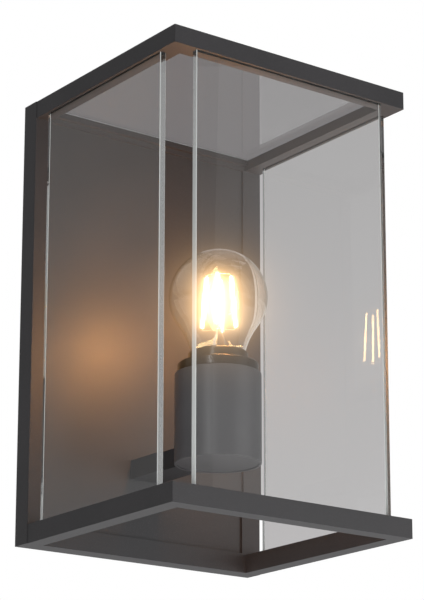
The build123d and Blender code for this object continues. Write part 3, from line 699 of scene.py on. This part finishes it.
def turn(shape, outline, steps, swell=None, closed=True):
    """Turns an outline of (radius, height) about the lamp's axis. swell changes a radius."""
    rings = []
    for radius, height in outline:
        ring = []
        for step in range(steps):
            angle = 2 * math.pi * step / steps
            reach = swell(radius, height, angle) if swell else radius
            spot = (AXIS_X + reach * math.cos(angle), AXIS_Y + reach * math.sin(angle), height)
            ring.append(shape.verts.new(spot))
        rings.append(ring)
    pairs = list(zip(rings, rings[1:]))
    if closed:
        pairs.append((rings[-1], rings[0]))
    for lower, upper in pairs:
        for step in range(steps):
            after = (step + 1) % steps
            shape.faces.new((lower[step], lower[after], upper[after], upper[step]))


# %% [markdown]
# ## The bulb's glass
# A bulb is blown: round at the crown, with a hollow curve that flows into the neck. Two arcs
# that touch draw it exactly. The wall is under a millimetre thick, and both its faces are made,
# because it is the pair of faces that bends the light at the rim and leaves the middle clear.

# %% Blown glass
WALL = 0.8 * MM
NECK_RADIUS = 15.0 * MM
NECK_DROP = 46.0 * MM
RIM_RADIUS = 12.6 * MM
THROAT = 5.5 * MM


def blown_outline(inset, arc_steps=26):
    """(radius, height) from the crown to the foot of the neck, inset into the wall."""
    spread = NECK_DROP**2 + NECK_RADIUS**2 - BULB_RADIUS**2
    hollow = spread / (2 * (BULB_RADIUS - NECK_RADIUS))
    centre = NECK_RADIUS + hollow
    turn_angle = math.atan2(NECK_DROP, centre)
    points = []
    for step in range(arc_steps + 1):
        angle = math.pi / 2 - step / arc_steps * (math.pi / 2 + turn_angle)
        reach = BULB_RADIUS - inset
        points.append((abs(reach * math.cos(angle)), BULB_MIDDLE + reach * math.sin(angle)))
    for step in range(1, arc_steps + 1):
        angle = turn_angle * (1 - step / arc_steps)
        reach = hollow + inset
        radius = centre - reach * math.cos(angle)
        points.append((radius, BULB_MIDDLE - NECK_DROP + reach * math.sin(angle)))
    return points


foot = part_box("bulb_glass")[0].z
outside = blown_outline(0.0) + [(RIM_RADIUS, foot + THROAT), (RIM_RADIUS, foot)]
inside = blown_outline(WALL) + [(RIM_RADIUS - WALL, foot + THROAT), (RIM_RADIUS - WALL, foot)]
glass_shape = bmesh.new()
turn(glass_shape, outside + inside[::-1], 96, closed=False)
add_piece("bulb_glass_blown", glass_shape, bulb_clear, "bulb", "bulb_clear", "bulb_glass")

# %% [markdown]
# ## The screw cap
# The cap is thin nickelled brass, rolled into a round thread that climbs 3.63 mm a turn. Rings
# stacked up would be quicker, but they can't screw in, and it shows: a thread's ridges lean.
# So each point's radius follows a wave whose phase turns with the angle, and the wave fades
# out before the plain band at the top.

# %% Rolled thread
PITCH = 3.63 * MM
cap_low, cap_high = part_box("bulb_cap")
CREST = (cap_high.x - cap_low.x) / 2 - 0.02 * MM
ROOT = CREST - 0.85 * MM
THREAD_TOP = cap_high.z - 5.5 * MM
CAP_WALL = 0.4 * MM
ROW = 0.30 * MM


def fade(value, low, high):
    """0 below low, 1 above high, and smooth between."""
    share = min(1.0, max(0.0, (value - low) / (high - low)))
    return share * share * (3 - 2 * share)


def thread_depth(height, angle):
    """0 on a crest and 1 in a valley, fading to a crest near the plain band."""
    wave = 0.5 - 0.5 * math.cos(2 * math.pi * (height - THREAD_TOP) / PITCH - angle)
    return wave * (1 - fade(height, THREAD_TOP - 0.8 * PITCH, THREAD_TOP))


def cap_radius(radius, height, angle):
    groove = (CREST - ROOT) * thread_depth(height, angle)
    return radius - groove * (1 - fade(-height, -cap_low.z - 1.2 * MM, -cap_low.z))


rows = [cap_low.z + ROW * step for step in range(1, int((cap_high.z - cap_low.z) / ROW))]
lip = [(ROOT, cap_low.z)]
skin_out = lip + [(CREST, z) for z in rows] + [(CREST, cap_high.z - 0.15 * MM)]
skin_out.append((CREST - 0.15 * MM, cap_high.z))
skin_in = [(radius - CAP_WALL, z) for radius, z in skin_out]
skin_in[-1] = (CREST - CAP_WALL, cap_high.z)
cap_shape = bmesh.new()
turn(cap_shape, skin_out + skin_in[::-1], 84, cap_radius)
add_piece("bulb_cap_rolled", cap_shape, nickel, "bulb", "cap_nickel", "bulb_cap")

# %% [markdown]
# ## The glass stem
# Inside the neck a flared tube is melted to the bulb, and its top is pinched flat round the
# wires. It is turned like the bulb, with its radius squeezed one way near the pinch.

# %% Pinched stem
stem_low, stem_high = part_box("bulb_stem")
STEM_TALL = stem_high.z - stem_low.z
STEM_FLARE = (stem_high.x - stem_low.x) / 2


def squeezed(radius, height, angle):
    """Flattens the stem across X where it was pinched."""
    share = (height - stem_low.z) / STEM_TALL
    pinch = fade(share, 0.35, 0.60) * (1 - fade(share, 0.82, 0.95))
    return radius * (1 - 0.55 * pinch * math.cos(angle) ** 2)


stem_line = [(1.0, 0.0), (1.0, 0.02), (0.86, 0.05), (0.62, 0.12), (0.47, 0.20), (0.42, 0.30)]
stem_line += [(0.40, 0.42), (0.42, 0.52), (0.44, 0.62), (0.40, 0.72), (0.30, 0.80)]
stem_line += [(0.20, 0.87), (0.16, 0.93), (0.13, 0.975), (0.07, 0.997), (0.0, 1.0)]
stem_line = [(share * STEM_FLARE, stem_low.z + up * STEM_TALL) for share, up in stem_line]
stem_shape = bmesh.new()
turn(stem_shape, [(0.0, stem_low.z)] + stem_line, 48, squeezed, closed=False)
add_piece("bulb_stem_pinched", stem_shape, stem_clear, "bulb", "stem_glass", "bulb_stem")

# %% [markdown]
# ## Filaments
# Four slim glass sticks carry the phosphor. They lean together towards the top. Each is a rod
# with rounded, slightly uneven skin and a bare metal tab at either end, so the glow has a
# clear start and stop.

# %% Four filaments
COUNT = 4
RING_LOW = 10.5 * MM
RING_HIGH = 7.5 * MM
fil_low, fil_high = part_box("led_filaments")
FIL_FOOT = fil_low.z + 0.15 * MM
FIL_HEAD = fil_high.z - 0.15 * MM
FIL_RADIUS = 0.9 * MM


def ends(index):
    """Where filament number index starts and ends."""
    angle = math.radians(45 + 360 / COUNT * index)
    across = Vector((math.cos(angle), math.sin(angle), 0))
    axis = Vector((AXIS_X, AXIS_Y, 0))
    foot_point = axis + across * RING_LOW + Vector((0, 0, FIL_FOOT))
    return foot_point, axis + across * RING_HIGH + Vector((0, 0, FIL_HEAD))


def rod(shape, start, end, profile, sides=16):
    """A round rod from start to end whose radius follows (share, radius) profile."""
    along = end - start
    turned = along.to_track_quat("Z", "Y")
    rings = []
    for share, radius in profile:
        middle = start + along * share
        ring = []
        for side in range(sides):
            angle = 2 * math.pi * side / sides
            spoke = Vector((math.cos(angle) * radius, math.sin(angle) * radius, 0))
            ring.append(shape.verts.new(middle + turned @ spoke))
        rings.append(ring)
    for lower, upper in zip(rings, rings[1:]):
        for side in range(sides):
            after = (side + 1) % sides
            shape.faces.new((lower[side], lower[after], upper[after], upper[side]))
    shape.faces.new(rings[0][::-1])
    shape.faces.new(rings[-1])


STICK = [(0.015, 0.5), (0.02, 0.8), (0.03, 0.96), (0.05, 1.0)]
STICK += [(0.05 + 0.9 * step / 30, 1.0 - 0.03 * (step % 2)) for step in range(1, 30)]
STICK += [(0.95, 1.0), (0.97, 0.96), (0.98, 0.8), (0.985, 0.5)]
stick_profile = [(share, width * FIL_RADIUS) for share, width in STICK]
sticks = bmesh.new()
for index in range(COUNT):
    rod(sticks, *ends(index), stick_profile)
add_piece("filament_sticks", sticks, warm_phosphor, "bulb", "filament_phosphor", "led_filaments")

# %% [markdown]
# ## Support wires
# Springy wires hold the sticks: one for each foot, bent out of the stem, and a little crown at
# the top that links all four. A wire is a line with thickness, so each is drawn as a smooth
# curve with a round bevel, and then turned into a mesh.

# %% Bent wires
WIRE = 0.25 * MM
TAB = 0.55 * MM
HUB_RISE = 1.5 * MM
HUB_RADIUS = 0.7 * MM


def wires(name, routes, thickness):
    """Smooth round wires through the control points of each route, as one bmesh."""
    line = bpy.data.curves.new(name, "CURVE")
    line.dimensions = "3D"
    line.bevel_depth = thickness
    line.bevel_resolution = 2
    line.use_fill_caps = True
    line.resolution_u = 6
    for route in routes:
        spline = line.splines.new("NURBS")
        spline.points.add(len(route) - 1)
        for point, spot in zip(spline.points, route):
            point.co = (*spot, 1.0)
        spline.order_u = 3
        spline.use_endpoint_u = True
    holder = bpy.data.objects.new(name, line)
    shape = bmesh.new()
    mesh = bpy.data.meshes.new_from_object(holder)
    shape.from_mesh(mesh)
    bpy.data.meshes.remove(mesh)
    bpy.data.objects.remove(holder)
    bpy.data.curves.remove(line)
    return shape


stem_tip = Vector((AXIS_X, AXIS_Y, stem_high.z - 2.2 * MM))
hub = Vector((AXIS_X, AXIS_Y, FIL_HEAD + HUB_RISE))
routes = []
for index in range(COUNT):
    low_end, high_end = ends(index)
    out = (low_end - stem_tip).normalized()
    flat = Vector((out.x, out.y, 0)).normalized()
    shoulder = stem_tip + flat * 5.2 * MM - Vector((0, 0, 0.6 * MM))
    elbow = low_end - Vector((0, 0, 1.5 * MM)) - flat * 0.5 * MM
    routes.append([stem_tip + flat * 0.4 * MM, shoulder, elbow, low_end])
    crest = high_end + Vector((0, 0, 1.3 * MM))
    routes.append([high_end, crest, hub + flat * 1.5 * MM, hub - flat * 0.2 * MM])
wire_shape = wires("wires", routes, WIRE)
for index in range(COUNT):
    low_end, high_end = ends(index)
    along = (high_end - low_end).normalized()
    tab = [(0.0, TAB * 0.6), (0.15, TAB), (1.0, TAB)]
    rod(wire_shape, low_end - along * 0.2 * MM, low_end + along * 1.0 * MM, tab, 12)
    rod(wire_shape, high_end + along * 0.2 * MM, high_end - along * 1.0 * MM, tab, 12)
half_hub = Vector((0, 0, 0.5 * MM))
rod(wire_shape, hub - half_hub, hub + half_hub, [(0, HUB_RADIUS), (1, HUB_RADIUS)], 16)
add_piece("filament_supports", wire_shape, wire_metal, "bulb", "filament_metal", "filament_wires")

# %% [markdown]
# ## The bulb's own light
# Four thin glowing sticks behind two layers of glass are a poor light source for a renderer:
# it rarely finds them, and the result is speckled. A small round lamp in their middle throws
# the same warm light cleanly. It rides on the bulb, and the sticks only have to be looked at.
# Light linking keeps a lamp off what it would spoil: the warm one off all glass, where it would
# show as a ball, two softboxes off the bulb, which would mirror them as squares, and the narrow
# softbox off all but the cup and its collar.

# %% Warm lamp
LAMP_POWER = 0.74
LAMP_TINT = (1.0, 0.46, 0.15)

warm = bpy.data.lights.new("bulb_light", "POINT")
warm.energy = LAMP_POWER
warm.color = LAMP_TINT
warm.shadow_soft_size = 9 * MM
glow_lamp = bpy.data.objects.new("bulb_light", warm)
scene.collection.objects.link(glow_lamp)
glow_lamp.location = (AXIS_X + 8 * MM, AXIS_Y, (FIL_FOOT + FIL_HEAD) / 2)
glow_lamp.visible_camera = False
glow_lamp.visible_transmission = False
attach(glow_lamp, "bulb")
sticks_piece = bpy.data.objects["filament_sticks"]
sticks_piece.visible_diffuse = False


def light_only(name, receivers, *lamps):
    """Keeps lamps from lighting anything but the receivers."""
    group = bpy.data.collections.new(name)
    for piece in receivers:
        group.objects.link(piece)
    for lamp in lamps:
        lamp.light_linking.receiver_collection = group


def unlike(pieces, *words):
    """The pieces with none of the words in their names."""
    return [piece for piece in pieces if not any(word in piece.name for word in words)]


light_only("lit_by_bulb", unlike(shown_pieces(), "glass", "stem"), glow_lamp)
but_bulb = unlike([*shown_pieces(), floor], "bulb_glass", "stem")
light_only("all_but_bulb", but_bulb, low_front, left_front)
light_only("cup_and_collar", [nodes["socket_cup"], nodes["seal_collar"]], cup_sheen)
print("bulb light", LAMP_POWER, "W, tint", LAMP_TINT)

# %% [markdown]
# ## A little bloom
# A lamp that is far brighter than the rest spreads a soft veil in any lens and in the eye. The
# compositor's bloom finds it after the render, and its high threshold leaves all but the
# filaments alone. The bloom alone is then made stronger and warmer, and added to the picture.

# %% Bloom
BLOOM_FROM = 1.2
BLOOM_SIZE = 0.2
VEIL = (2.8, 2.5, 2.2, 1.0)

scene.use_nodes = True
darkroom = scene.node_tree
darkroom.nodes.clear()
render_layer = darkroom.nodes.new("CompositorNodeRLayers")
bloom = darkroom.nodes.new("CompositorNodeGlare")
bloom.glare_type = "BLOOM"
bloom.inputs["Threshold"].default_value = BLOOM_FROM
bloom.inputs["Size"].default_value = BLOOM_SIZE
darkroom.links.new(render_layer.outputs["Image"], bloom.inputs["Image"])


def blended(way, first, second):
    """Two pictures put together by MULTIPLY or ADD. Either may be one colour."""
    node = darkroom.nodes.new("CompositorNodeMixRGB")
    node.blend_type = way
    for slot, value in ((1, first), (2, second)):
        if isinstance(value, tuple):
            node.inputs[slot].default_value = value
        else:
            darkroom.links.new(value, node.inputs[slot])
    return node.outputs["Image"]


veil = blended("MULTIPLY", bloom.outputs["Glare"], VEIL)
picture = darkroom.nodes.new("CompositorNodeComposite")
darkroom.links.new(blended("ADD", render_layer.outputs["Image"], veil), picture.inputs["Image"])
print("bloom above", BLOOM_FROM)
